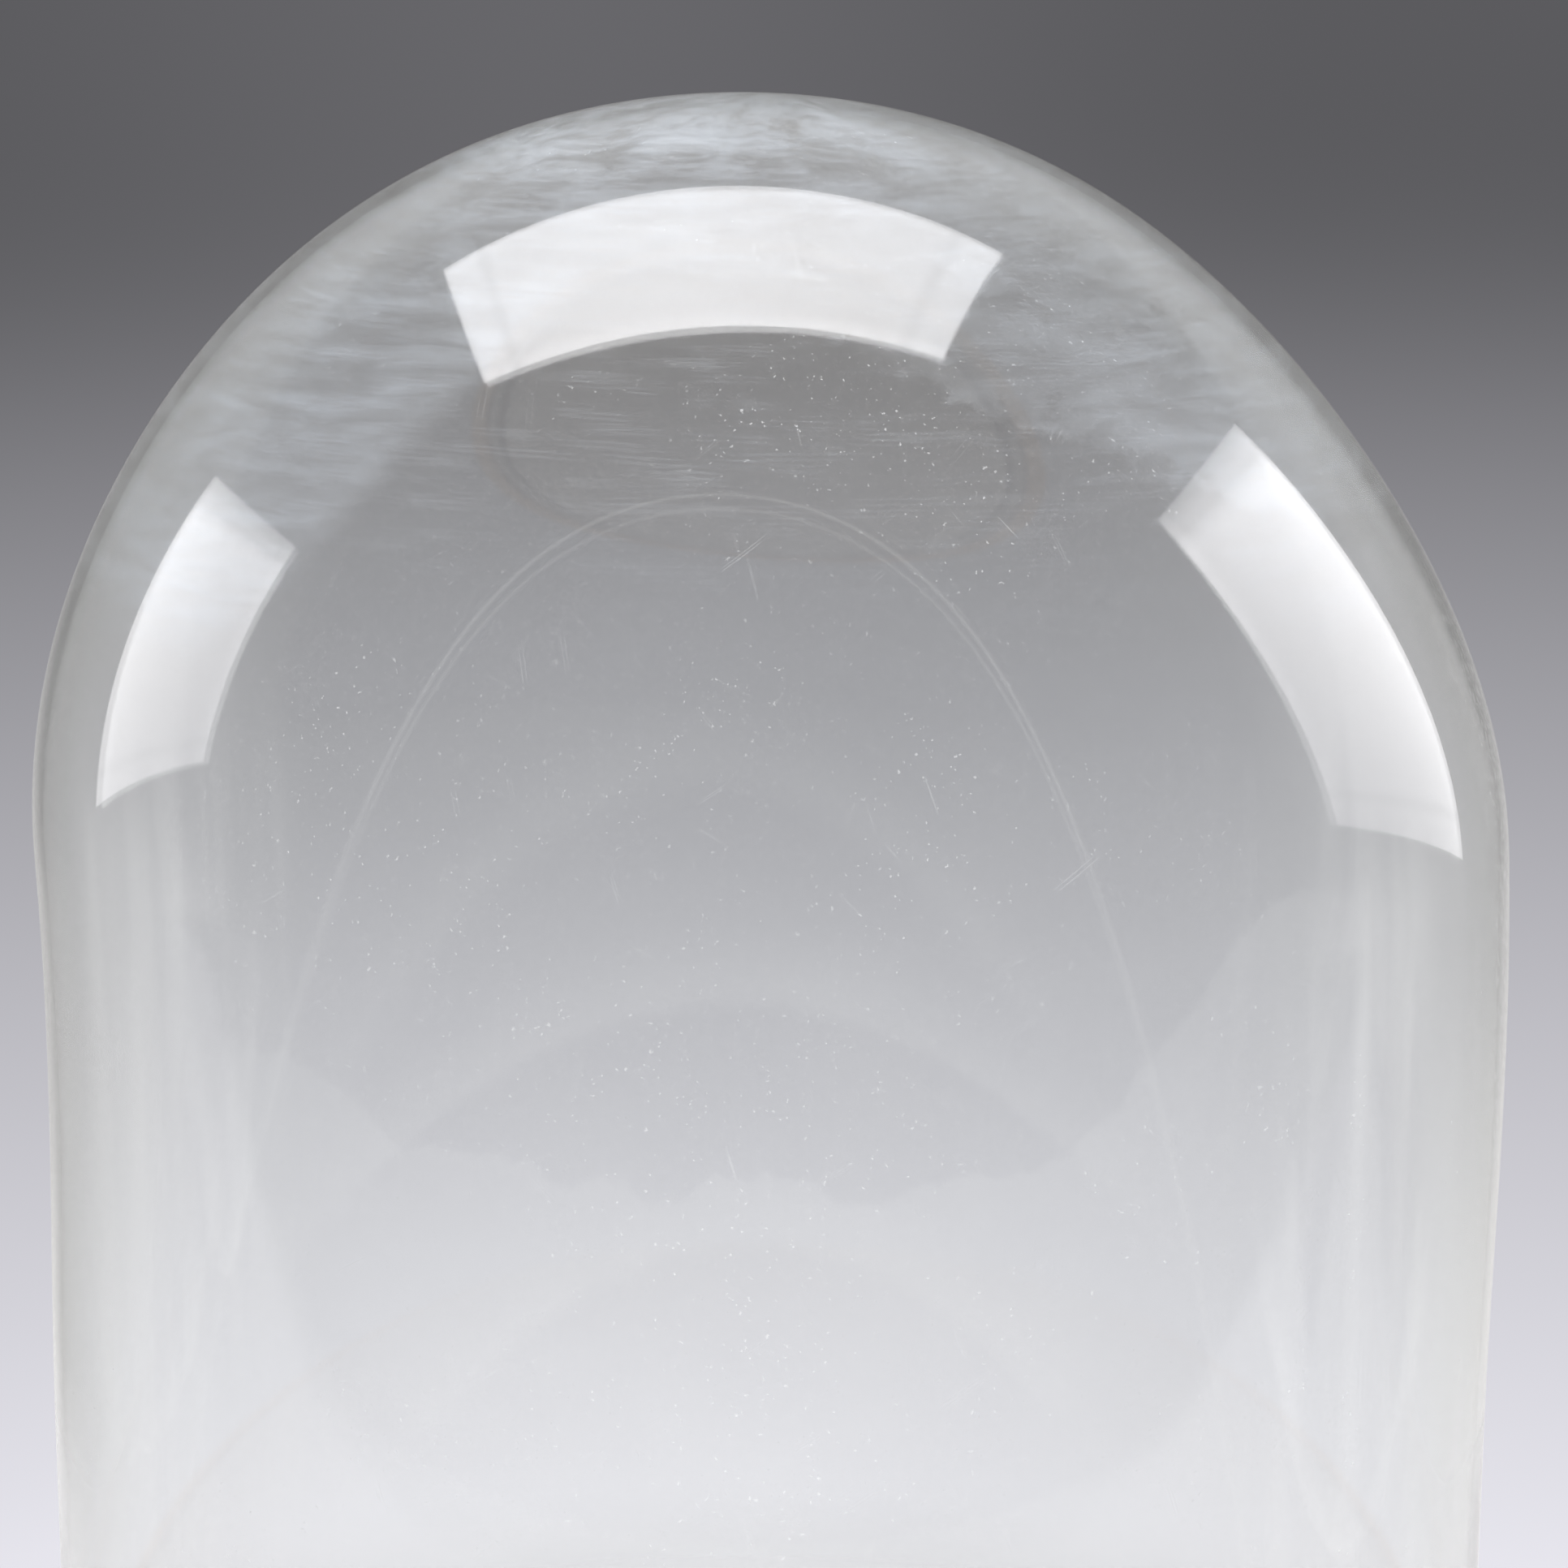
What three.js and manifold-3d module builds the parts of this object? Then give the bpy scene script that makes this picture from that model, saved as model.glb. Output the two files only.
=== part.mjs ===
// A glass display dome (bell jar) on a turned wooden base.
//
// The dome is one free-blown shell with a flat ground rim. It stands on a felt ring in the groove of the
// base, with a chenille cord laid round its foot, and lifts straight off. The base is a round board with a
// turned moulding glued on its edge, a raised stage covered in velvet, and three bun feet.
//
// Millimetres, +Z up. The origin is on the table, under the middle of the base.
import * as THREE from "three";
import { mergeVertices } from "three/addons/utils/BufferGeometryUtils.js";
import Module from "manifold-3d";

const wasm = await Module();
wasm.setup();

// ---- Driving dimensions ------------------------------------------------------------------------------
const DOME_DIAMETER = 300; // outside, at the straight wall
const DOME_HEIGHT = 400; // rim to crown, outside
const GLASS = 2.2; // wall
const GLUE = 0.3; // gap between pieces that touch
const FELT = 2; // felt under the feet and under the rim
const FOOT_HEIGHT = 20;
const BOARD = 16; // base board
const MOULDING_RISE = 8; // moulding above the top of the board, which is the depth of the groove
const STAGE = 15; // stage board
const VELVET = 1.2;
const CHENILLE = 10; // diameter of the cord round the dome's foot

// ---- Radii, from the dome outwards and inwards -------------------------------------------------------
const domeR = DOME_DIAMETER / 2;
const domeInnerR = domeR - GLASS;
const stageR = domeInnerR - 6;
const chenilleMidR = domeR + 1 + CHENILLE / 2;
const grooveR = chenilleMidR + CHENILLE / 2 + 1;
const boardR = grooveR + 4;
const mouldingR = grooveR + 20;
const footCircleR = boardR - 22;
const stageScrewCircleR = stageR * 0.6;

// ---- Heights, from the table up ----------------------------------------------------------------------
const footZ = FELT + GLUE;
const boardZ = footZ + FOOT_HEIGHT + GLUE;
const boardTopZ = boardZ + BOARD;
const stageZ = boardTopZ + GLUE;
const coverUndersideZ = stageZ + STAGE + GLUE;
const rimFeltZ = boardTopZ + GLUE;
const rimZ = rimFeltZ + FELT + GLUE;
const springZ = rimZ + DOME_HEIGHT - domeR; // where the straight wall turns into the crown

// ---- Numbers of things -------------------------------------------------------------------------------
const FEET = 3;
const STAGE_SCREWS = 4;
const DOME_SIDES = 72;
const CROWN_STEPS = 11;
const BASE_SIDES = 48;
const FOOT_SIDES = 24;
const SCREW_SIDES = 12;

// ---- Materials ---------------------------------------------------------------------------------------
const glass = new THREE.MeshStandardMaterial({
  color: 0xe9efec,
  roughness: 0.04,
  metalness: 0,
  transparent: true,
  opacity: 0.3,
});
const wood = new THREE.MeshStandardMaterial({ color: 0xc9a67c, roughness: 0.38, metalness: 0 });
const velvet = new THREE.MeshStandardMaterial({ color: 0xddd6c8, roughness: 0.95, metalness: 0 });
const chenille = new THREE.MeshStandardMaterial({ color: 0xd8d0c0, roughness: 1, metalness: 0 });
const felt = new THREE.MeshStandardMaterial({ color: 0xa9a498, roughness: 1, metalness: 0 });
const brass = new THREE.MeshStandardMaterial({ color: 0xa88a4c, roughness: 0.35, metalness: 1 });

// ---- Helpers -----------------------------------------------------------------------------------------
const part = new THREE.Group();

function add(name, geometry, material, x = 0, y = 0, z = 0) {
  const mesh = new THREE.Mesh(geometry, material);
  mesh.name = name;
  mesh.position.set(x, y, z);
  part.add(mesh);
  return mesh;
}

// A solid of revolution about Z from [radius, height] pairs, which run up the outside.
function turned(profile, sides) {
  const points = profile.map(([r, z]) => new THREE.Vector2(r, z));
  return new THREE.LatheGeometry(points, sides).rotateX(Math.PI / 2);
}

// Points on an elliptical arc in [radius, height], from angle a to angle b in degrees.
function arc(r, z, width, height, a, b, steps) {
  return Array.from({ length: steps + 1 }, (_, i) => {
    const t = THREE.MathUtils.degToRad(a + ((b - a) * i) / steps);
    return [r + width * Math.cos(t), z + height * Math.sin(t)];
  });
}

// A disc with eased upper and lower edges.
function easedDisc(radius, thickness, ease, sides) {
  return turned(
    [
      [0, 0],
      [radius - ease, 0],
      [radius, ease],
      [radius, thickness - ease],
      [radius - ease, thickness],
      [0, thickness],
    ],
    sides,
  );
}

function solidOf(geometry) {
  const bare = geometry.clone();
  bare.deleteAttribute("normal");
  bare.deleteAttribute("uv");
  const merged = mergeVertices(bare, 1e-3);
  return new wasm.Manifold(
    new wasm.Mesh({
      numProp: 3,
      vertProperties: merged.attributes.position.array,
      triVerts: new Uint32Array(merged.index.array),
    }),
  );
}

function geometryOf(solid) {
  const mesh = solid.getMesh();
  const geometry = new THREE.BufferGeometry();
  geometry.setAttribute("position", new THREE.BufferAttribute(mesh.vertProperties, 3));
  geometry.setIndex(new THREE.BufferAttribute(mesh.triVerts, 1));
  geometry.computeVertexNormals();
  return geometry;
}

function bored(geometry, ...cutters) {
  const cut = cutters.reduce((solid, cutter) => solid.subtract(solidOf(cutter)), solidOf(geometry));
  return geometryOf(cut);
}

function onCircle(radius, count, startDegrees) {
  return Array.from({ length: count }, (_, i) => {
    const t = THREE.MathUtils.degToRad(startDegrees + (360 * i) / count);
    return [radius * Math.cos(t), radius * Math.sin(t)];
  });
}

// ---- The glass dome ----------------------------------------------------------------------------------
// It is free-blown. Its crown is slimmer at the shoulder than half a sphere, and leans to one side, above
// a wall that swells a little the other way.
const SHOULDER_SLIM = 0.033; // share of the radius that is missing halfway up the crown
const CROWN_LEAN = 7.3;
const LEAN_FROM = -0.25; // heights above the spring line, over the dome's radius
const LEAN_TO = 0.85;
const WALL_SWELL = 1.1;
const SWELL_FROM = -0.8;
const SWELL_TO = -0.3;
const RIM_CHAMFER = 0.5;

function lean(z) {
  const up = (z - springZ) / domeR;
  const swell = WALL_SWELL * THREE.MathUtils.smoothstep(up, SWELL_FROM, SWELL_TO);
  return swell - CROWN_LEAN * THREE.MathUtils.smoothstep(up, LEAN_FROM, LEAN_TO);
}

function crownArc(radius, from, to) {
  return Array.from({ length: CROWN_STEPS + 1 }, (_, i) => {
    const t = from + ((to - from) * i) / CROWN_STEPS;
    const slim = 1 - SHOULDER_SLIM * Math.sin(2 * t) ** 2;
    return [Math.max(radius * Math.cos(t) * slim, 0), springZ + radius * Math.sin(t)];
  });
}

function domeGeometry() {
  const top = Math.PI / 2;
  const wallZ = [SWELL_FROM, SWELL_TO].map((up) => springZ + domeR * up);
  const inside = crownArc(domeInnerR, top, 0);
  const outside = crownArc(domeR, 0, top);
  inside[0][0] = 0;
  outside[CROWN_STEPS][0] = 0;
  const geometry = turned(
    [
      ...inside,
      ...wallZ.toReversed().map((z) => [domeInnerR, z]),
      [domeInnerR, rimZ + RIM_CHAMFER],
      [domeInnerR + RIM_CHAMFER, rimZ],
      [domeR - RIM_CHAMFER, rimZ],
      [domeR, rimZ + RIM_CHAMFER],
      ...wallZ.map((z) => [domeR, z]),
      ...outside,
    ],
    DOME_SIDES,
  );
  const position = geometry.attributes.position;
  for (let i = 0; i < position.count; i++) {
    position.setX(i, position.getX(i) + lean(position.getZ(i)));
  }
  return geometry;
}

add("glass_dome", domeGeometry(), glass);

// ---- Felt ring and chenille cord in the groove -------------------------------------------------------
const rimFeltInnerR = domeInnerR - 2;
const rimFeltOuterR = domeR + 0.5;
const rimFelt = turned(
  [
    [rimFeltInnerR, 0],
    [rimFeltOuterR, 0],
    [rimFeltOuterR, FELT],
    [rimFeltInnerR, FELT],
    [rimFeltInnerR, 0],
  ],
  BASE_SIDES,
);
add("rim_felt_ring", rimFelt, felt, 0, 0, rimFeltZ);

const cordR = CHENILLE / 2;
const cordProfile = arc(chenilleMidR, 0, cordR, cordR, -90, 270, 10);
cordProfile[cordProfile.length - 1] = cordProfile[0];
add("chenille_trim", turned(cordProfile, BASE_SIDES), chenille, 0, 0, boardTopZ + GLUE + cordR);

// ---- Screws: countersunk, slotted, with the head at z = 0 and the point up ---------------------------
const SCREW_SHANK = 4; // diameters of the shank and the head
const SCREW_HEAD = 8;
const SCREW_HEAD_LAND = 0.4; // straight edge of the head, below its cone
const SCREW_HEAD_DEPTH = 2.4;
const THREAD_PITCH = 2.6;
const THREAD_CORE = 0.72; // core diameter over shank diameter

function screwGeometry(length) {
  const shank = SCREW_SHANK / 2;
  const core = shank * THREAD_CORE;
  const head = SCREW_HEAD / 2;
  const threadFrom = length * 0.45;
  const crests = Math.floor((length - threadFrom) / THREAD_PITCH) - 1;
  const thread = Array.from({ length: crests }, (_, i) => {
    const z = threadFrom + i * THREAD_PITCH;
    return [
      [core, z + THREAD_PITCH * 0.2],
      [shank, z + THREAD_PITCH * 0.6],
    ];
  }).flat();
  const tipZ = threadFrom + (crests + 0.2) * THREAD_PITCH;
  const body = turned(
    [
      [0, 0],
      [head, 0],
      [head, SCREW_HEAD_LAND],
      [shank, SCREW_HEAD_DEPTH],
      [shank, threadFrom],
      ...thread,
      [core, tipZ],
      [0, length],
    ],
    SCREW_SIDES,
  );
  const slot = new THREE.BoxGeometry(SCREW_HEAD + 2, 1.2, 1.8);
  return bored(body, slot);
}

// ---- Base board, with pilot holes for the feet and countersunk holes for the stage screws ------------
const CLEAR = 0.6; // added to a diameter for clearance
const CUT = 1; // how far a cutter runs past the face that it starts from
const EDGE_EASE = 1.2;
const PILOT_DEPTH = 10;
const SCREW_SUNK = 0.3; // how far a stage screw's head lies below the board's underside

const footPlaces = onCircle(footCircleR, FEET, -90);
const stageScrewPlaces = onCircle(stageScrewCircleR, STAGE_SCREWS, 45);

function cylinder(diameter, fromZ, toZ, x = 0, y = 0) {
  return new THREE.CylinderGeometry(diameter / 2, diameter / 2, toZ - fromZ, SCREW_SIDES)
    .rotateX(Math.PI / 2)
    .translate(x, y, (fromZ + toZ) / 2);
}

function countersunkHole(x, y) {
  const head = (SCREW_HEAD + CLEAR) / 2;
  const shank = (SCREW_SHANK + CLEAR) / 2;
  const headZ = SCREW_SUNK + SCREW_HEAD_LAND + GLUE;
  const shankZ = SCREW_SUNK + SCREW_HEAD_DEPTH + GLUE;
  const profile = [
    [0, -CUT],
    [head, -CUT],
    [head, headZ],
    [shank, shankZ],
    [shank, BOARD + CUT],
    [0, BOARD + CUT],
  ];
  return turned(profile, SCREW_SIDES).translate(x, y, 0);
}

const boardHoles = [
  ...footPlaces.map(([x, y]) => cylinder(SCREW_SHANK + CLEAR, -CUT, PILOT_DEPTH, x, y)),
  ...stageScrewPlaces.map(([x, y]) => countersunkHole(x, y)),
];
const board = bored(easedDisc(boardR, BOARD, EDGE_EASE, BASE_SIDES), ...boardHoles);
add("base_board", board, wood, 0, 0, boardZ);

// ---- Turned moulding: a torus at the foot, a cove, and a bead along the top --------------------------
// Its top overhangs the board, so that it is the outer wall of the groove.
const TORUS = 6; // radius of the lower bead
const BEAD = 2.6; // radius of the top bead
const FOOT_STEP = 5; // how far the moulding's flat foot is set back from the torus
const FILLET = 1.5;

function mouldingProfile() {
  const height = BOARD + MOULDING_RISE;
  const innerR = boardR + GLUE;
  const torusR = mouldingR - TORUS;
  const coveFootR = mouldingR - 3;
  const coveFootZ = 2 * TORUS + FILLET;
  const coveTopZ = height - 2 * BEAD - FILLET;
  const beadR = grooveR + BEAD + 2;
  const coveTopR = beadR + BEAD - 0.5;
  return [
    [innerR, 0],
    [mouldingR - FOOT_STEP, 0],
    ...arc(torusR, TORUS, TORUS, TORUS, -75, 80, 6),
    [coveFootR, coveFootZ],
    ...arc(coveFootR, coveTopZ, coveTopR - coveFootR, coveFootZ - coveTopZ, 75, 0, 4),
    ...arc(beadR, height - BEAD, BEAD, BEAD, -50, 90, 4),
    [grooveR + 1, height],
    [grooveR, height - 1],
    [grooveR, BOARD + GLUE],
    [innerR, BOARD + GLUE],
    [innerR, 0],
  ];
}
add("base_moulding", turned(mouldingProfile(), BASE_SIDES), wood, 0, 0, boardZ);

// ---- Stage board and its velvet cover ----------------------------------------------------------------
const STAGE_ROUND = 2;
const SCREW_IN_STAGE = 9;

const stageHoles = stageScrewPlaces.map(([x, y]) =>
  cylinder(SCREW_SHANK + CLEAR, -CUT, SCREW_IN_STAGE + CLEAR, x, y),
);
const stage = bored(easedDisc(stageR, STAGE, STAGE_ROUND, BASE_SIDES), ...stageHoles);
add("stage_board", stage, wood, 0, 0, stageZ);

// A shallow cap of fabric, pulled down over the edge of the stage.
const coverInnerR = stageR + GLUE;
const coverOuterR = coverInnerR + VELVET;
const coverTopZ = coverUndersideZ + VELVET;
const coverFootZ = stageZ + 2;
const coverRound = STAGE_ROUND + VELVET;
const coverProfile = [
  [0, coverUndersideZ],
  [coverInnerR - STAGE_ROUND, coverUndersideZ],
  [coverInnerR, coverUndersideZ - STAGE_ROUND],
  [coverInnerR, coverFootZ],
  [coverOuterR, coverFootZ],
  ...arc(coverOuterR - coverRound, coverTopZ - coverRound, coverRound, coverRound, 0, 90, 3),
  [0, coverTopZ],
];
add("stage_velvet", turned(coverProfile, BASE_SIDES), velvet);

const stageScrewLength = BOARD - SCREW_SUNK + GLUE + SCREW_IN_STAGE;
stageScrewPlaces.forEach(([x, y], i) => {
  const name = `stage_screw_${i + 1}`;
  const screw = add(name, screwGeometry(stageScrewLength), brass, x, y, boardZ + SCREW_SUNK);
  screw.rotation.z = 0.7 + i * 1.1;
});

// ---- Bun feet, each with its screw and its felt pad --------------------------------------------------
const FOOT_R = 19;
const FOOT_BULGE = 8; // how far the bun's curve runs in from its widest radius
const FOOT_NECK_R = 12;
const FOOT_SOLE_R = 12.5;
const FOOT_WAIST_Z = FOOT_HEIGHT - 3.5;
const FOOT_COLLAR_R = 14;
const COUNTERBORE = 9.2; // diameter
const COUNTERBORE_DEPTH = 6;

function footGeometry() {
  const bun = turned(
    [
      [0, 0],
      [FOOT_SOLE_R, 0],
      ...arc(FOOT_R - FOOT_BULGE, FOOT_WAIST_Z / 2, FOOT_BULGE, FOOT_WAIST_Z / 2, -65, 65, 6),
      [FOOT_NECK_R, FOOT_WAIST_Z],
      [FOOT_NECK_R, FOOT_WAIST_Z + 1],
      [FOOT_COLLAR_R, FOOT_WAIST_Z + 2],
      [FOOT_COLLAR_R, FOOT_HEIGHT],
      [0, FOOT_HEIGHT],
    ],
    FOOT_SIDES,
  );
  return bored(
    bun,
    cylinder(SCREW_SHANK + CLEAR, -CUT, FOOT_HEIGHT + CUT),
    cylinder(COUNTERBORE, -CUT, COUNTERBORE_DEPTH),
  );
}

const footScrewZ = footZ + COUNTERBORE_DEPTH - SCREW_HEAD_DEPTH;
const footScrewLength = boardZ + PILOT_DEPTH - 1 - footScrewZ;
footPlaces.forEach(([x, y], i) => {
  add(`bun_foot_${i + 1}`, footGeometry(), wood, x, y, footZ);
  const screw = add(`foot_screw_${i + 1}`, screwGeometry(footScrewLength), brass, x, y, footScrewZ);
  screw.rotation.z = 0.3 + i * 0.9;
  add(`foot_felt_${i + 1}`, easedDisc(FOOT_SOLE_R - 1, FELT, 0.3, FOOT_SIDES), felt, x, y, 0);
});

export default part;
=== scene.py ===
# The glass display dome on its turned base: looks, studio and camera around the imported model.
#
# Metres, +Z up, the same frame as the model. The front is -Y.
import math

import bpy
import numpy as np
from mathutils import Matrix, Vector


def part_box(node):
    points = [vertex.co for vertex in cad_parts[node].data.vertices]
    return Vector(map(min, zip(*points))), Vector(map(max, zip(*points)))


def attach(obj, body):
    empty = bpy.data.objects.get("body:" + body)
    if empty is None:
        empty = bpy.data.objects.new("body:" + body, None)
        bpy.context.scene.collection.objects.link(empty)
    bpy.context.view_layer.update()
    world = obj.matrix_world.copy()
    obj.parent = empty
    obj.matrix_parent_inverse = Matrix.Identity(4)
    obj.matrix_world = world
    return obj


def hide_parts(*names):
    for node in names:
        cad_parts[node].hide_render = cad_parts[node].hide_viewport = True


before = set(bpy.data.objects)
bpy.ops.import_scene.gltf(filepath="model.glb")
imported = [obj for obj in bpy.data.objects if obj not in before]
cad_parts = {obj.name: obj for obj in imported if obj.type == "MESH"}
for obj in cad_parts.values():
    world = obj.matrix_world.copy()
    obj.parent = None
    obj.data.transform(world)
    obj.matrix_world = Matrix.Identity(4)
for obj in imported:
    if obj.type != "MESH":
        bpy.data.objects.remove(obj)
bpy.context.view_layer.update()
scene = bpy.context.scene

# ---- Sizes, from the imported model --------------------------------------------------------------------
DOME_LOW, DOME_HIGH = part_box("glass_dome")
DOME_R = (DOME_HIGH.y - DOME_LOW.y) / 2
RIM_Z = DOME_LOW.z
SPRING_Z = DOME_HIGH.z - DOME_R
GLASS = 0.0022

# The crown's form, as in the model: slimmer than half a sphere, leaning to one side, on a wall that swells
# a little the other way.
SHOULDER_SLIM = 0.033
CROWN_LEAN = 0.0073
LEAN_FROM, LEAN_TO = -0.25, 0.85
WALL_SWELL = 0.0011
SWELL_FROM, SWELL_TO = -0.8, -0.3


def smoothstep(x, low, high):
    t = np.clip((x - low) / (high - low), 0.0, 1.0)
    return t * t * (3.0 - 2.0 * t)


def lean(z):
    up = (z - SPRING_Z) / DOME_R
    swell = WALL_SWELL * smoothstep(up, SWELL_FROM, SWELL_TO)
    return swell - CROWN_LEAN * smoothstep(up, LEAN_FROM, LEAN_TO)


# ---- Node helper -------------------------------------------------------------------------------------
class Nodes:
    """Short calls for building a node tree. The calls that work something out return an output socket."""

    def __init__(self, tree):
        self.tree = tree
        tree.nodes.clear()

    def add(self, kind, **settings):
        node = self.tree.nodes.new(kind)
        for key, value in settings.items():
            setattr(node, key, value)
        return node

    def put(self, socket, value):
        if isinstance(value, bpy.types.NodeSocket):
            self.tree.links.new(value, socket)
        else:
            socket.default_value = value

    def math(self, operation, a, b=0.0, c=0.0, clamp=False):
        node = self.add("ShaderNodeMath", operation=operation, use_clamp=clamp)
        for socket, value in zip(node.inputs, (a, b, c)):
            self.put(socket, value)
        return node.outputs[0]

    def times(self, first, *others, clamp=False):
        for other in others:
            first = self.math("MULTIPLY", first, other, clamp=clamp)
        return first

    def plus(self, first, *others, clamp=False):
        for other in others:
            first = self.math("ADD", first, other, clamp=clamp)
        return first

    def minus(self, a, b, clamp=False):
        return self.math("SUBTRACT", a, b, clamp=clamp)

    def absolute(self, a):
        return self.math("ABSOLUTE", a)

    def length(self, a, b):
        """How long the arrow (a, b) is."""
        return self.math("SQRT", self.plus(self.math("POWER", a, 2.0), self.math("POWER", b, 2.0)))

    def ramp(self, value, low, high, out_low=0.0, out_high=1.0, smooth=True):
        node = self.add("ShaderNodeMapRange", clamp=True)
        node.interpolation_type = "SMOOTHSTEP" if smooth else "LINEAR"
        for name, v in zip(("Value", "From Min", "From Max", "To Min", "To Max"),
                           (value, low, high, out_low, out_high)):
            self.put(node.inputs[name], v)
        return node.outputs["Result"]

    def mix(self, factor, a, b):
        node = self.add("ShaderNodeMix", data_type="FLOAT")
        for socket, value in zip(node.inputs[:4], (factor, None, a, b)):
            if value is not None:
                self.put(socket, value)
        return node.outputs[0]

    def mix_colour(self, factor, a, b, blend="MIX"):
        node = self.add("ShaderNodeMix", data_type="RGBA", blend_type=blend)
        self.put(node.inputs["Factor"], factor)
        self.put(node.inputs[6], a)
        self.put(node.inputs[7], b)
        return node.outputs[2]

    def combine(self, x, y, z):
        node = self.add("ShaderNodeCombineXYZ")
        for socket, value in zip(node.inputs, (x, y, z)):
            self.put(socket, value)
        return node.outputs[0]

    def split(self, vector):
        node = self.add("ShaderNodeSeparateXYZ")
        self.put(node.inputs[0], vector)
        return node.outputs

    def noise(self, vector, scale, detail=2.0, rough=0.5, distortion=0.0, seed=0.0):
        node = self.add("ShaderNodeTexNoise", noise_dimensions="4D")
        self.put(node.inputs["Vector"], vector)
        self.put(node.inputs["W"], seed)
        self.put(node.inputs["Scale"], scale)
        self.put(node.inputs["Detail"], detail)
        self.put(node.inputs["Roughness"], rough)
        self.put(node.inputs["Distortion"], distortion)
        return node.outputs["Fac"]

    def surface(self, shader):
        """Links a shader to a new output node."""
        output = self.add("ShaderNodeOutputMaterial")
        self.put(output.inputs["Surface"], shader)

    def blend(self, factor, a, b):
        """One shader where the factor is 0, and the other where it is 1."""
        node = self.add("ShaderNodeMixShader")
        for socket, value in zip(node.inputs, (factor, a, b)):
            self.put(socket, value)
        return node.outputs[0]


def new_material(name):
    material = bpy.data.materials.new(name)
    material.use_nodes = True
    return material, Nodes(material.node_tree)


# ---- Camera ------------------------------------------------------------------------------------------
# It looks down a little at the crown, from close by, and the crown's middle is a little left of and below
# the middle of the picture.
VIEW_ELEVATION = math.radians(12.0)
VIEW_DISTANCE = 0.757
VIEW_LENS = 83.8
VIEW_ROLL = math.radians(0.19)
AIM_RIGHT = 0.0025
AIM_UP = 0.0092


def make_camera():
    crown = Vector((0.0, 0.0, SPRING_Z))
    back = Vector((0.0, -math.cos(VIEW_ELEVATION), math.sin(VIEW_ELEVATION)))
    eye = crown + back * VIEW_DISTANCE
    side = Vector((1.0, 0.0, 0.0))
    aim = crown + side * AIM_RIGHT + back.cross(side) * AIM_UP
    ahead = (aim - eye).normalized()
    right = ahead.cross(Vector((0.0, 0.0, 1.0))).normalized()
    up = right.cross(ahead)
    turn = Matrix.Rotation(-VIEW_ROLL, 3, ahead)
    axes = Matrix((turn @ right, turn @ up, -ahead)).transposed()
    data = bpy.data.cameras.new("camera")
    data.lens = VIEW_LENS
    data.clip_start = 0.01
    camera = bpy.data.objects.new("camera", data)
    camera.matrix_world = Matrix.Translation(eye) @ axes.to_4x4()
    scene.collection.objects.link(camera)
    scene.camera = camera


# ---- Studio ------------------------------------------------------------------------------------------
# The dome stands on a pale table before a backdrop that darkens upwards. What it reflects is another
# matter: the half of the room on the camera's side is dim, and the other half is pale.
# The backdrop: its tones at the top and at the foot, how far below the horizon its foot is in degrees, how
# much it darkens with each degree, and how many degrees lower it seems on the right.
BACKDROP_TOP = 0.107
BACKDROP_FOOT = 0.828
SWEEP_DEPTH = 24.0
BACKDROP_SLOPE = 0.0349
SWEEP_TILT = 0.65
GLOW_HIGH, GLOW_LOW = 0.031, 0.095
BACKDROP_TINT = (0.985, 0.975, 1.05, 1.0)
# What the glass mirrors: the walls beside the object and behind it, low down and high up.
BESIDE_LOW, BESIDE_HIGH = 0.82, 0.52
BEHIND_LOW, BEHIND_HIGH = 0.66, 0.20
BEHIND_LEFT = 0.65
OVERHEAD = 0.23
DIM_ROOM = 0.22
# The camera's side of the room as the inner skins mirror it, which is paler.
PALER_ROOM = 0.6
MIRRORED_TINT = (1.0, 0.985, 0.975, 1.0)


def seen_directly(n):
    """1 for a ray from the camera that has met nothing, or only passed through glass. Otherwise 0."""
    path = n.add("ShaderNodeLightPath")
    straight = n.math("MAXIMUM", path.outputs["Is Camera Ray"], path.outputs["Is Transmission Ray"])
    turned = n.plus(path.outputs["Glossy Depth"], path.outputs["Diffuse Depth"])
    return n.times(straight, n.math("LESS_THAN", turned, 0.5))


def mirrored_outside(n):
    """1 for a ray that has been through no more than the wall it was mirrored in. Otherwise 0."""
    return n.math("LESS_THAN", n.add("ShaderNodeLightPath").outputs["Transmission Depth"], 2.5)


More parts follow.
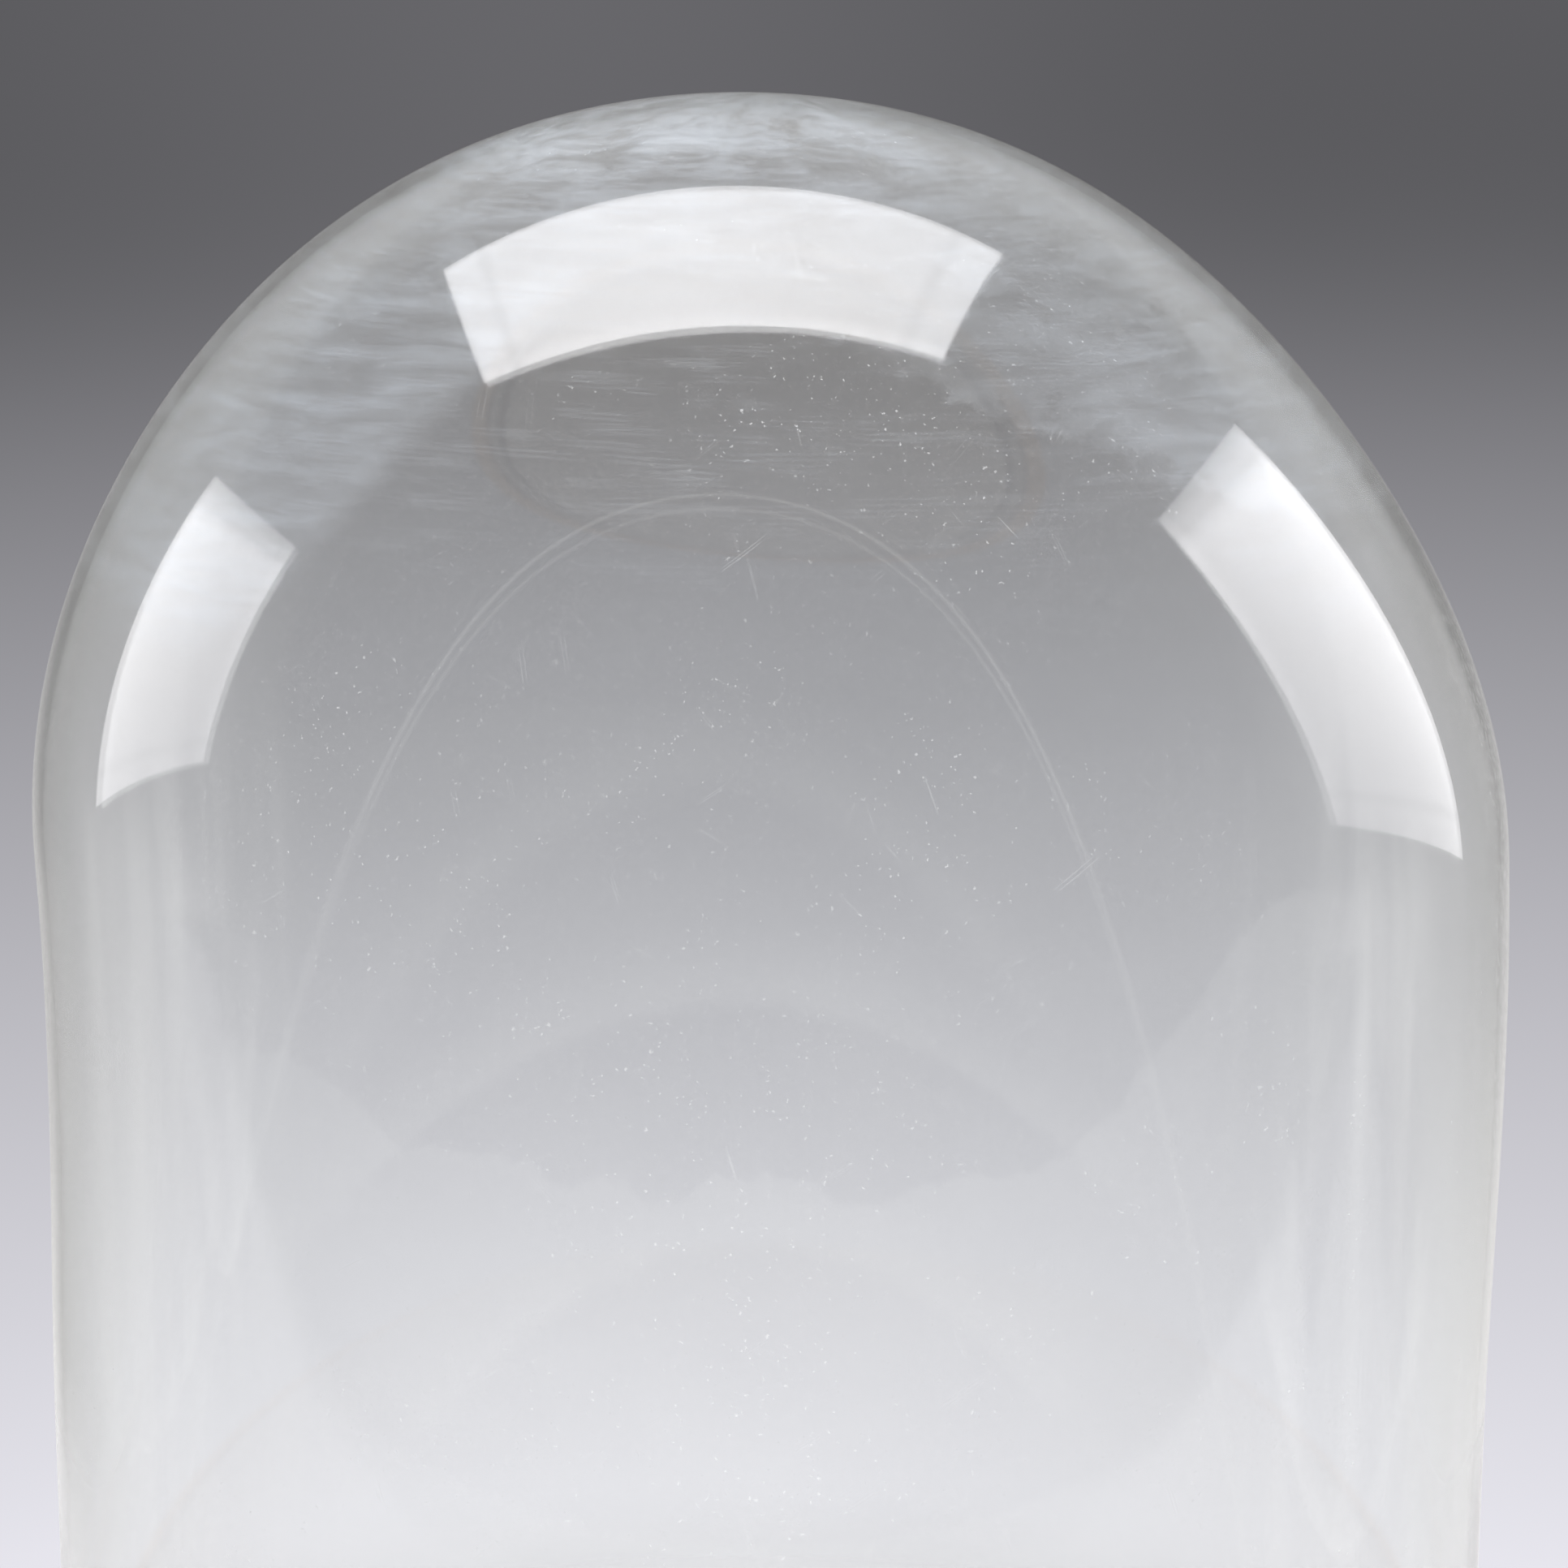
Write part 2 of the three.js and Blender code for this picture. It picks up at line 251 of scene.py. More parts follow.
def make_world():
    world = bpy.data.worlds.new("studio")
    scene.world = world
    world.use_nodes = True
    n = Nodes(world.node_tree)
    x, y, z = n.split(n.add("ShaderNodeTexCoord").outputs["Generated"])
    elevation = n.math("DEGREES", n.math("ARCSINE", z))

    # What the camera sees: a sweep that is palest at its foot, a little paler on the right, with a glow low
    # down behind the object.
    tilted = n.minus(elevation, n.ramp(x, -0.15, 0.1, 0.0, SWEEP_TILT))
    sweep_top = BACKDROP_FOOT - SWEEP_DEPTH * BACKDROP_SLOPE
    sweep = n.ramp(tilted, -SWEEP_DEPTH, 0.0, BACKDROP_FOOT, sweep_top, smooth=False)
    beside_glow = n.absolute(n.plus(x, 0.05))
    glow = n.times(n.ramp(beside_glow, 0.2, 0.0), n.ramp(elevation, -16.0, -25.0, GLOW_HIGH, GLOW_LOW))
    sweep = n.plus(n.math("SMOOTH_MAX", sweep, BACKDROP_TOP, 0.1), glow)

    # What the glass mirrors: the backdrop straight behind the object, the walls beside it and behind them,
    # the ceiling, and the dim half of the room that the camera stands in.
    turned = n.math("DIVIDE", y, n.math("MAXIMUM", n.length(x, y), 0.001))
    beside = n.ramp(elevation, -10.0, 2.0, BESIDE_LOW, BESIDE_HIGH)
    behind = n.ramp(elevation, -24.0, -9.0, BEHIND_LOW, BEHIND_HIGH)
    behind = n.times(behind, n.ramp(x, -0.5, 0.3, BEHIND_LEFT, 1.0))
    walls = n.mix(n.ramp(turned, 0.3, 0.8), beside, behind)
    around = n.mix(n.ramp(turned, 0.84, 0.95), walls, sweep)
    pale = n.mix(n.ramp(elevation, 10.0, 35.0), around, OVERHEAD)
    room = n.mix(mirrored_outside(n), PALER_ROOM, DIM_ROOM)
    mirrored = n.mix(n.ramp(y, -0.12, 0.12), room, pale)

    background = n.add("ShaderNodeBackground")
    direct = seen_directly(n)
    n.put(background.inputs["Color"], n.mix_colour(direct, MIRRORED_TINT, BACKDROP_TINT))
    n.put(background.inputs["Strength"], n.mix(direct, mirrored, sweep))
    output = n.add("ShaderNodeOutputWorld")
    n.put(output.inputs["Surface"], background.outputs[0])


def mesh_object(name, verts, faces, material=None, smooth=True):
    mesh = bpy.data.meshes.new(name)
    mesh.from_pydata([tuple(v) for v in verts], [], faces)
    if material:
        mesh.materials.append(material)
    if smooth:
        mesh.polygons.foreach_set("use_smooth", [True] * len(mesh.polygons))
    obj = bpy.data.objects.new(name, mesh)
    scene.collection.objects.link(obj)
    return obj


# The table top is a pale paper, and beyond its rounded front edge it is painted darker: painted shade that
# stands in for the dim room past the table's edge. To the eye it melts into the backdrop all round, and the
# outside of the glass mirrors the paper as far as its rounded front edge.
TABLE_FRONT = 0.62
TABLE_SLOPE = 0.55
TABLE_ROUND = 0.12
TABLE_REACH = 1.9
TABLE_WHITE = 0.74
TABLE_BLUE = 1.02
# Painted shade: how dark the table is beyond its front edge, where the mirrored room is dim.
PAINTED_SHADE_BEYOND_EDGE = 0.5
TONE_THROUGH_GLASS = 0.9


def table_tone(n, x, y):
    """The paper's tone, and beyond its front edge a darker tone that is painted shade."""
    wide = n.length(x, TABLE_ROUND)
    front = n.times(n.minus(wide, TABLE_ROUND), TABLE_SLOPE)
    edge = n.minus(n.plus(y, TABLE_FRONT), front)
    return n.mix(mirrored_outside(n), TONE_THROUGH_GLASS, n.ramp(edge, -0.02, 0.04, PAINTED_SHADE_BEYOND_EDGE, 1.0))


def table_material():
    material, n = new_material("table_top")
    x, y, _ = n.split(n.add("ShaderNodeTexCoord").outputs["Object"])
    out = n.length(x, y)
    far, near = n.ramp(out, 0.62, 0.30), n.ramp(out, TABLE_REACH - 0.05, 1.0)
    mirrored = n.mix(n.ramp(y, 0.0, 0.25), near, far)
    shown = n.mix(seen_directly(n), mirrored, n.ramp(out, 0.38, 0.19))
    tone = n.times(table_tone(n, x, y), TABLE_WHITE)
    paper = n.add("ShaderNodeBsdfDiffuse")
    n.put(paper.inputs["Color"], n.combine(tone, tone, n.times(tone, TABLE_BLUE)))
    clear = n.add("ShaderNodeBsdfTransparent")
    n.surface(n.blend(shown, clear.outputs[0], paper.outputs[0]))
    return material


def make_table():
    radii = np.linspace(0.0, TABLE_REACH, 96)
    angles = np.linspace(0.0, 2 * np.pi, 180, endpoint=False)
    verts = [(0.0, 0.0, 0.0)]
    for r in radii[1:]:
        verts.extend((r * np.cos(a), r * np.sin(a), 0.0) for a in angles)
    count = len(angles)
    faces = [(0, 1 + j, 1 + (j + 1) % count) for j in range(count)]
    for i in range(len(radii) - 2):
        a, b = 1 + i * count, 1 + (i + 1) * count
        faces.extend((a + j, b + j, b + (j + 1) % count, a + (j + 1) % count) for j in range(count))
    mesh_object("table_top", verts, faces, table_material())


# Three diffusion panels: one overhead and one on each side, from the object's own plane backwards. Each is
# given by its corners, in order round its edge.
PANELS = {
    "panel_top": [(-1.235, -0.06, 2.30), (0.87, -0.045, 2.30), (1.06, 1.11, 2.30), (-1.305, 1.16, 2.30)],
    "panel_left": [(-1.60, 0.02, 1.28), (-1.60, 0.0, 0.49), (-1.60, 0.82, 0.14), (-1.60, 0.91, 1.12)],
    "panel_right": [(1.60, 0.02, 1.66), (1.60, 0.01, 0.45), (1.60, 1.10, 0.07), (1.60, 1.11, 1.46)],
}
# How bright each panel is at its four corners, where the glass mirrors it.
PANEL_LIGHT = {
    "panel_top": (5.3, 5.0, 3.0, 3.2),
    "panel_left": (3.7, 2.2, 2.1, 3.5),
    "panel_right": (4.5, 1.45, 1.6, 4.2),
}
PANEL_TINT = (1.0, 0.985, 1.0, 1.0)
# The share of it that lights everything else.
PANEL_SPILL = 0.55
# Each panel's front and back edges are a little brighter, and a faint seam crosses it near either end. Both
# places are counted from the middle, as a share of the whole panel.
PANEL_EDGE, EDGE_AT = 1.12, 0.43
PANEL_SEAM, SEAM_AT = 0.9, 0.412
# How far the top panel bows towards the camera, at its front edge and at its back edge.
PANEL_BOW = {"panel_top": (0.10, 0.04)}
# How much brighter the middle of the top panel's front edge is.
PANEL_BELLY = {"panel_top": 0.22}
# How bright the side panels' upper ends are beside the rest, and the share of the panel that is dimmed.
PANEL_END = {"panel_left": 0.4, "panel_right": 0.35}
END_SHARE = 0.15
PANEL_STEPS = 20


def panel_grid(name):
    """A panel's points, each with its place in the panel and how bright the panel is there, and its faces."""
    corners = [np.array(p) for p in PANELS[name]]
    front_bow, back_bow = PANEL_BOW.get(name, (0.0, 0.0))
    end_light = PANEL_END.get(name, 1.0)
    verts, place, level = [], [], []
    for i in range(PANEL_STEPS + 1):
        for j in range(PANEL_STEPS + 1):
            u, v = i / PANEL_STEPS, j / PANEL_STEPS
            middle = 4 * u * (1 - u)
            share = ((1 - u) * (1 - v), u * (1 - v), u * v, (1 - u) * v)
            bow = (front_bow * (1 - v) + back_bow * v) * middle
            belly = 1.0 + PANEL_BELLY.get(name, 0.0) * (1 - v) * middle
            end = end_light + (1.0 - end_light) * min(u / END_SHARE, 1.0)
            light = sum(s * p for s, p in zip(share, PANEL_LIGHT[name]))
            verts.append(sum(s * p for s, p in zip(share, corners)) - np.array((0.0, bow, 0.0)))
            place.append((u, v, 0.0))
            level.append(light * belly * end)
    row = PANEL_STEPS + 1
    faces = [
        (i * row + j, (i + 1) * row + j, (i + 1) * row + j + 1, i * row + j + 1)
        for i in range(PANEL_STEPS)
        for j in range(PANEL_STEPS)
    ]
    return verts, faces, place, level


def panel_material(name):
    material, n = new_material(name)
    u, v, _ = n.split(n.add("ShaderNodeAttribute", attribute_name="place").outputs["Vector"])
    past_seam = n.minus(n.absolute(n.minus(u, 0.5)), SEAM_AT)
    past_edge = n.minus(n.absolute(n.minus(v, 0.5)), EDGE_AT)
    seam = n.ramp(n.absolute(past_seam), 0.004, 0.02, PANEL_SEAM, 1.0)
    pattern = n.times(n.ramp(past_edge, -0.004, 0.004, 1.0, PANEL_EDGE), seam)
    mirrored = n.math("MINIMUM", n.add("ShaderNodeLightPath").outputs["Glossy Depth"], 1.0)
    share = n.mix(mirrored, PANEL_SPILL, 1.0)
    level = n.add("ShaderNodeAttribute", attribute_name="level").outputs["Fac"]
    emission = n.add("ShaderNodeEmission")
    n.put(emission.inputs["Color"], PANEL_TINT)
    n.put(emission.inputs["Strength"], n.times(pattern, level, share))
    unseen = n.add("ShaderNodeBsdfTransparent")
    n.surface(n.blend(seen_directly(n), emission.outputs[0], unseen.outputs[0]))
    return material


def make_panel(name):
    verts, faces, place, level = panel_grid(name)
    panel = mesh_object(name, verts, faces, panel_material(name))
    attribute = panel.data.attributes.new("place", "FLOAT_VECTOR", "POINT")
    attribute.data.foreach_set("vector", np.array(place, np.float32).ravel())
    attribute = panel.data.attributes.new("level", "FLOAT", "POINT")
    attribute.data.foreach_set("value", np.array(level, np.float32))
    panel.visible_camera = False
    panel.visible_shadow = False


# A broad soft fill from over the camera, for the film on the glass. It isn't mirrored.
FILL_AT = (0.15, -1.9, 1.5)
FILL_SIZE = 1.6
FILL_WATTS = 80.0


def make_fill(pieces):
    data = bpy.data.lights.new("fill", "AREA")
    data.shape = "DISK"
    data.size = FILL_SIZE
    data.energy = FILL_WATTS
    fill = bpy.data.objects.new("fill", data)
    fill.location = FILL_AT
    away = Vector(FILL_AT) - Vector((0.0, 0.0, SPRING_Z))
    fill.rotation_euler = away.to_track_quat("Z", "Y").to_euler()
    fill.visible_camera = False
    fill.visible_glossy = False
    fill.visible_transmission = False
    scene.collection.objects.link(fill)
    lit = bpy.data.collections.new("lit_by_fill")
    for piece in pieces:
        lit.objects.link(piece)
    fill.light_linking.receiver_collection = lit


# ---- The glass dome ----------------------------------------------------------------------------------
DOME_SEGMENTS = 256
WALL_STEPS = 70
CROWN_STEPS = 90
GLASS_COLOUR = (0.97, 0.98, 0.975, 1.0)
CROWN_COLOUR = (0.90, 0.95, 1.0, 1.0)
# The rim's small ground bevel, and the size of the waves that hand blowing leaves in each skin.
LIP = 0.0006
RIPPLE_SIZE = 2.2e-5
OUTER_SEED, INNER_SEED = 11, 12


def dome_profile(radius):
    """Radius and height up one skin of the shell, from the rim's corner to the crown."""
    wall = np.linspace(RIM_Z + LIP, SPRING_Z, WALL_STEPS, endpoint=False)
    t = np.linspace(0.0, np.pi / 2, CROWN_STEPS, endpoint=False)
    slim = 1.0 - SHOULDER_SLIM * np.sin(2 * t) ** 2
    r = np.concatenate([np.full(wall.shape, radius), radius * np.cos(t) * slim])
    z = np.concatenate([wall, SPRING_Z + radius * np.sin(t)])
    return r, z


def ripple(angle, z, seed):
    """How far a skin of hand-blown glass wanders from true, in metres."""
    rng = np.random.default_rng(seed)
    out = np.zeros(np.broadcast(angle, z).shape)
    for _ in range(10):
        lobes = rng.integers(1, 7)
        pitch = rng.uniform(0.1, 0.3)
        round_it = np.sin(lobes * angle + rng.uniform(0, 6.28))
        out += round_it * np.sin(2 * np.pi * z / pitch + rng.uniform(0, 6.28))
    return out * RIPPLE_SIZE


def make_dome_mesh():
    """The shell's two skins, each closed by a fan at the crown, and the ground rim that joins them."""
    angle = np.linspace(0.0, 2 * np.pi, DOME_SEGMENTS, endpoint=False)
    rings = []
    for radius, seed, bevel in ((DOME_R, OUTER_SEED, LIP), (DOME_R - GLASS, INNER_SEED, -LIP)):
        r, z = dome_profile(radius)
        r = np.concatenate([[r[0] - bevel], r])
        z = np.concatenate([[RIM_Z], z])
        calm_top = smoothstep(r, 0.0, 0.05)[:, None]
        rr = r[:, None] + ripple(angle[None, :], z[:, None], seed) * calm_top
        x = rr * np.cos(angle) + lean(z)[:, None]
        y = rr * np.sin(angle)
        zz = np.repeat(z[:, None], DOME_SEGMENTS, 1)
        rings.append(np.stack([x, y, zz], -1))
    outer, inner = rings
    count = outer.shape[0]
    verts = np.concatenate([outer.reshape(-1, 3), inner.reshape(-1, 3)])
    tops = np.array([
        [lean(SPRING_Z + DOME_R), 0.0, SPRING_Z + DOME_R],
        [lean(SPRING_Z + DOME_R - GLASS), 0.0, SPRING_Z + DOME_R - GLASS],
    ])
    verts = np.concatenate([verts, tops])
    s = DOME_SEGMENTS
    inner_start = count * s
    faces = []
    for i in range(count - 1):
        low, high = i * s, (i + 1) * s
        for j in range(s):
            k = (j + 1) % s
            faces.append((low + j, low + k, high + k, high + j))
    for i in range(count - 1):
        low, high = inner_start + i * s, inner_start + (i + 1) * s
        for j in range(s):
            k = (j + 1) % s
            faces.append((low + k, low + j, high + j, high + k))
    outer_top, inner_top = inner_start - s, 2 * inner_start - s
    for j in range(s):
        k = (j + 1) % s
        faces.append((k, j, inner_start + j, inner_start + k))
        faces.append((outer_top + j, outer_top + k, 2 * inner_start))
        faces.append((inner_top + k, inner_top + j, 2 * inner_start + 1))
    return verts, faces


# The film on the glass: how much of the surface it hides. Angles run round the dome from the front, and
# all of it is laid out in the model's own coordinates.
EVEN_FILM = 0.0075
HAZE_FILM = 0.022
CLOUD_FILM = 0.021
# The film at the very top of the crown, left and right, is partly painted highlight: heavier there, it stands
# in for a bright streak of light on the crown's top.
TOP_FILM_AND_HIGHLIGHT_LEFT, TOP_FILM_AND_HIGHLIGHT_RIGHT = 0.10, 0.02
STREAK_FILM = 0.024
TIDE_FILM = 0.018
BOWL_FILM = 0.013
DRIP_FILM = 0.038
RUN_FILM = 0.035
DUST_FILM = 0.22
FROST_FILM = 0.16
SCRATCH_FILM = 0.07
RING_FILM = 0.005
LEAST_FILM = 0.002

# Each arch is a painted reflection: the bright edge of the caustic that the dome casts on the table in front,
# mirrored in the far wall. Each arch: the height of its top, where it stands, how fast its legs fall, how far
# they reach, how soft its outer edge is, and how much film it holds, which is how strong the painted
# reflection is. Under each is a clearer patch, which is painted shadow: the dome's shade on the table,
# mirrored the same way.
PAINTED_REFLECTION_ARCHES = (
    {"top": 0.271, "x": -0.018, "bend": 8.5, "reach": 0.085, "soft": 0.008, "film": 0.0085},
    {"top": 0.2145, "x": -0.012, "bend": 4.4, "reach": 0.105, "soft": 0.002, "film": 0.0125},
    {"top": 0.151, "x": -0.005, "bend": 6.0, "reach": 0.085, "soft": 0.003, "film": 0.0115},
)
PAINTED_SHADOW_CLEAR = 0.65
# The thin double line over them is a painted reflection of the glass's ground rim and the shaded groove of
# the base, mirrored in the crown's far side: its top, how its legs fall, and its strokes, each by its height
# over the line's own curve and the film it adds or takes away.
LINE_TOP, LINE_X = 0.3439, -0.0132
LINE_BEND, LINE_FALL = 6.8, 480.0
RIM_REFLECTION_STROKES = ((0.0, -0.02), (0.0012, 0.045), (-0.0036, -0.01), (-0.0025, 0.028))
TIDE_Z = 0.261
BOWL_Z = 0.196
# Where drops ran and dried on the walls: a closed run's lowest point and how fast it widens upwards.
RUNS = (
    {"turn": -0.93, "low": 0.189, "wide": 0.85},
    {"turn": -0.72, "low": 0.232, "wide": 0.30},
    {"turn": 0.80, "low": 0.176, "wide": 0.75},
)
# Narrow wedges that were wiped clear, point down: the angle and height of the point, how fast the wedge
# widens upwards, and the height that it fades out at.
WEDGES = (
    {"turn": 0.885, "low": 0.194, "wide": 0.95, "high": 0.262},
    {"turn": 0.708, "low": 0.215, "wide": 1.05, "high": 0.256},
)
# Each family of scratches: the seed of its noise, and its slant in radians.
SCRATCHES = ((9.0, 0.55), (10.0, -0.8), (11.0, 1.9))
RING_AT = (0.0306, -0.1099, 0.3822)
RING_RADIUS = 0.0215


def crown_film(n, position, turn):
    """The crown was wiped round and round. That left haze, a patch with ragged edges on the right, and the
    streaks of the cloth. On top the film is heavier, most on the left, and there it is partly wiped film and
    partly painted highlight, a bright streak of light on the crown's top."""
    x, y, z = n.split(position)
    wide_turn = n.absolute(turn)
    out = n.math("MAXIMUM", n.length(x, y), 0.0001)
    heading_x = n.math("DIVIDE", x, out)
    heading_y = n.math("DIVIDE", y, out)
    wiped = n.noise(n.combine(heading_x, heading_y, n.times(z, 95.0)), 4.4, 7.0, 0.68, 0.5, 3.3)
    wisps = n.ramp(wiped, 0.42, 0.62)

    haze_line = n.ramp(wide_turn, 0.35, 0.85, 0.404, 0.345)
    above = n.times(n.ramp(n.minus(z, haze_line), -0.006, 0.010), n.ramp(wide_turn, 2.2, 1.5))
    inward = n.times(n.ramp(wide_turn, 1.3, 0.85, 0.5, 1.0), n.ramp(x, -0.05, 0.05, 1.7, 0.55))
    haze = n.times(above, HAZE_FILM, n.plus(0.5, n.times(wisps, 1.1)), inward)

    ragged = n.noise(position, 48.0, 7.0, 0.7, 0.8, 2.0)
    edge = n.plus(z, n.times(n.minus(ragged, 0.5), 0.034))
    cloud_line = n.ramp(turn, 0.15, 0.95, 0.395, 0.362, smooth=False)
    sharp = n.ramp(n.minus(edge, cloud_line), -0.0006, 0.0012)
    gaps = n.ramp(n.noise(position, 62.0, 6.0, 0.72, 1.2, 13.0), 0.60, 0.63, 1.0, 0.3)
    right_side = n.times(n.ramp(turn, 0.10, 0.30), n.ramp(turn, 1.6, 1.2))
    clouds = n.times(sharp, gaps, right_side, CLOUD_FILM, n.plus(0.7, n.times(wisps, 0.6)))

    # Painted highlight in part: the heavier film at the very top, in wiped wisps, stands in for a bright
    # streak of light there.
    top_film_and_highlight = n.ramp(x, -0.05, 0.05, TOP_FILM_AND_HIGHLIGHT_LEFT, TOP_FILM_AND_HIGHLIGHT_RIGHT)
    top = n.times(n.ramp(z, 0.420, 0.434), wisps, top_film_and_highlight)

    up_and_in = n.times(n.minus(z, out), 105.0)
    brushed = n.noise(n.combine(heading_x, heading_y, up_and_in), 4.0, 6.0, 0.75, 0.7, 14.0)
    streaks_here = n.times(n.ramp(z, 0.345, 0.385, 0.0, STREAK_FILM), n.ramp(wide_turn, 2.4, 1.7))
    streaks = n.times(n.ramp(brushed, 0.53, 0.60), streaks_here)
    return n.plus(haze, clouds, top, streaks)


def tide_film(n, turn, z, around):
    """A tide-mark across the front, paler below, with a scalloped edge, and a smooth one like a bowl."""
    wide_turn = n.absolute(turn)
    scallop = n.noise(n.combine(around, 0.0037, 0.0061), 62.0, 3.0, 0.6, 0.0, 5.3)
    right_rise = n.ramp(turn, 0.26, 0.66, TIDE_Z, TIDE_Z + 0.042)
    left_rise = n.ramp(turn, -0.40, -0.6, 0.0, 0.017)
    above = n.minus(n.plus(z, n.times(n.minus(scallop, 0.5), 0.026)), n.plus(right_rise, left_rise))
    crisp = n.ramp(above, 0.0006, -0.0008)
    fading = n.ramp(above, -0.06, 0.0, 0.5, 1.0)
    tide = n.times(crisp, fading, n.ramp(wide_turn, 0.9, 0.6), TIDE_FILM)

    beyond = n.math("MAXIMUM", n.minus(wide_turn, 0.5), 0.0)
    bowl_z = n.plus(BOWL_Z, n.times(n.math("POWER", turn, 2.0), 0.055))
    bowl_z = n.plus(bowl_z, n.times(beyond, n.plus(0.12, n.times(beyond, 0.6))))
    inside = n.ramp(n.minus(z, bowl_z), 0.0012, -0.0006)
    bowl = n.times(inside, n.ramp(wide_turn, 1.5, 0.9, 0.0, BOWL_FILM))
    return n.plus(tide, bowl)


def run_film(n, turn, z, around):
    """On the walls at either side: streaks that ran down, dried runs with pale outlines, and clear wedges."""
    wide_turn = n.absolute(turn)
    drips = n.noise(n.combine(n.times(around, 105.0), n.times(z, 4.5), 0.0), 1.0, 4.0, 0.6, 0.6, 4.0)
    beside = n.times(n.ramp(wide_turn, 0.56, 0.82), n.ramp(wide_turn, 2.5, 1.9))
    runs = n.times(beside, n.ramp(z, 0.325, 0.27), n.ramp(drips, 0.48, 0.62, 0.0, DRIP_FILM))
    waver = n.times(n.minus(n.noise(n.combine(0.0, 0.0, z), 40.0, 2.0, 0.5, 0.0, 12.0), 0.5), 0.05)
    for run in RUNS:
        up = n.minus(z, run["low"])
        half = n.times(n.math("SQRT", n.math("MAXIMUM", up, 0.0)), run["wide"])
        off = n.minus(half, n.absolute(n.plus(n.minus(turn, run["turn"]), waver)))
        fade = n.times(n.ramp(up, 0.085, 0.03), n.ramp(up, -0.0005, 0.0005))
        outline = n.times(n.ramp(off, -0.004, 0.002), n.ramp(off, 0.05, 0.004))
        runs = n.plus(runs, n.times(outline, fade, RUN_FILM))
    for wedge in WEDGES:
        half = n.times(n.minus(z, wedge["low"]), wedge["wide"])
        off = n.minus(half, n.absolute(n.plus(n.minus(turn, wedge["turn"]), waver)))
        clear = n.times(n.ramp(off, -0.001, 0.004), n.ramp(z, wedge["high"] + 0.02, wedge["high"] - 0.01))
        runs = n.minus(runs, n.times(clear, RUN_FILM))
    return runs


def painted_reflection_arches(n, x, y, z):
    """Painted reflections on the far wall: three faint arches, one below another, each the bright caustic
    edge that the dome casts on the table, with a clearer patch of painted shadow inside, and over them a thin
    double line that mirrors the glass's ground rim and the base's shaded groove."""
    arches = 0.0
    # Each arch: a band of painted reflection, the dome's caustic edge on the table, over a clearer patch of
    # painted shadow.
    for arch in PAINTED_REFLECTION_ARCHES:
        soft = arch["soft"]
        aside = n.minus(x, arch["x"])
        fall = n.times(n.math("POWER", aside, 2.0), arch["bend"])
        rise = n.minus(z, n.minus(arch["top"], fall))
        legs = n.ramp(n.absolute(aside), arch["reach"] + 0.02, arch["reach"] - 0.03)
        band = n.times(n.ramp(rise, -soft, soft), n.ramp(rise, 0.024, 0.002))
        patch = n.times(n.ramp(rise, soft, -soft - 0.002), n.ramp(rise, -0.06, -0.01))
        shape = n.minus(band, n.times(patch, PAINTED_SHADOW_CLEAR))
        arches = n.plus(arches, n.times(shape, legs, arch["film"]))
    # The double line: a painted reflection of the glass's ground rim and the base's shaded groove.
    aside = n.math("POWER", n.minus(x, LINE_X), 2.0)
    fall = n.plus(n.times(aside, LINE_BEND), n.times(n.math("POWER", aside, 2.0), LINE_FALL))
    rise = n.minus(z, n.minus(LINE_TOP, fall))
    wide = n.plus(0.0005, n.times(aside, 0.14))
    for offset, amount in RIM_REFLECTION_STROKES:
        near = n.math("DIVIDE", n.absolute(n.minus(rise, offset)), wide)
        arches = n.plus(arches, n.times(n.ramp(near, 1.0, 0.3), amount))
    return n.times(arches, n.ramp(y, 0.0, 0.06))


def marks_film(n, position, turn, around):
    """Dust, frosting on one shoulder, scratches and one faint ring."""
    _, _, z = n.split(position)
    grit = n.noise(position, 1250.0, 1.0, 0.5, 0.0, 6.3)
    drift = n.noise(position, 15.0, 3.0, 0.6, 0.0, 7.3)
    dust = n.times(n.ramp(grit, 0.70, 0.735), n.ramp(drift, 0.38, 0.62, 0.04, DUST_FILM))
    shoulder = n.times(n.ramp(turn, 1.10, 1.25), n.ramp(turn, 1.75, 1.5))
    frost_here = n.times(shoulder, n.ramp(z, 0.21, 0.24), n.ramp(z, 0.37, 0.31))
    frosted = n.noise(position, 520.0, 2.0, 0.6, 0.0, 8.3)
    frost = n.times(frost_here, n.ramp(frosted, 0.53, 0.64, 0.0, FROST_FILM))
    scratched = 0.0
    for seed, slant in SCRATCHES:
        along = n.plus(n.times(around, math.cos(slant)), n.times(z, math.sin(slant)))
        across = n.minus(n.times(z, math.cos(slant)), n.times(around, math.sin(slant)))
        where = n.combine(n.times(along, 45.0), n.times(across, 2100.0), 0.0)
        fine = n.noise(where, 1.0, 1.0, 0.5, 0.0, seed)
        scratched = n.math("MAXIMUM", scratched, n.ramp(fine, 0.735, 0.77, 0.0, SCRATCH_FILM))
    away = n.add("ShaderNodeVectorMath", operation="DISTANCE")
    n.put(away.inputs[0], position)
    n.put(away.inputs[1], n.combine(*RING_AT))
    off_ring = n.absolute(n.minus(away.outputs["Value"], RING_RADIUS))
    ring = n.ramp(off_ring, 0.0004, 0.0001, 0.0, RING_FILM)
    return n.plus(dust, frost, scratched, ring)


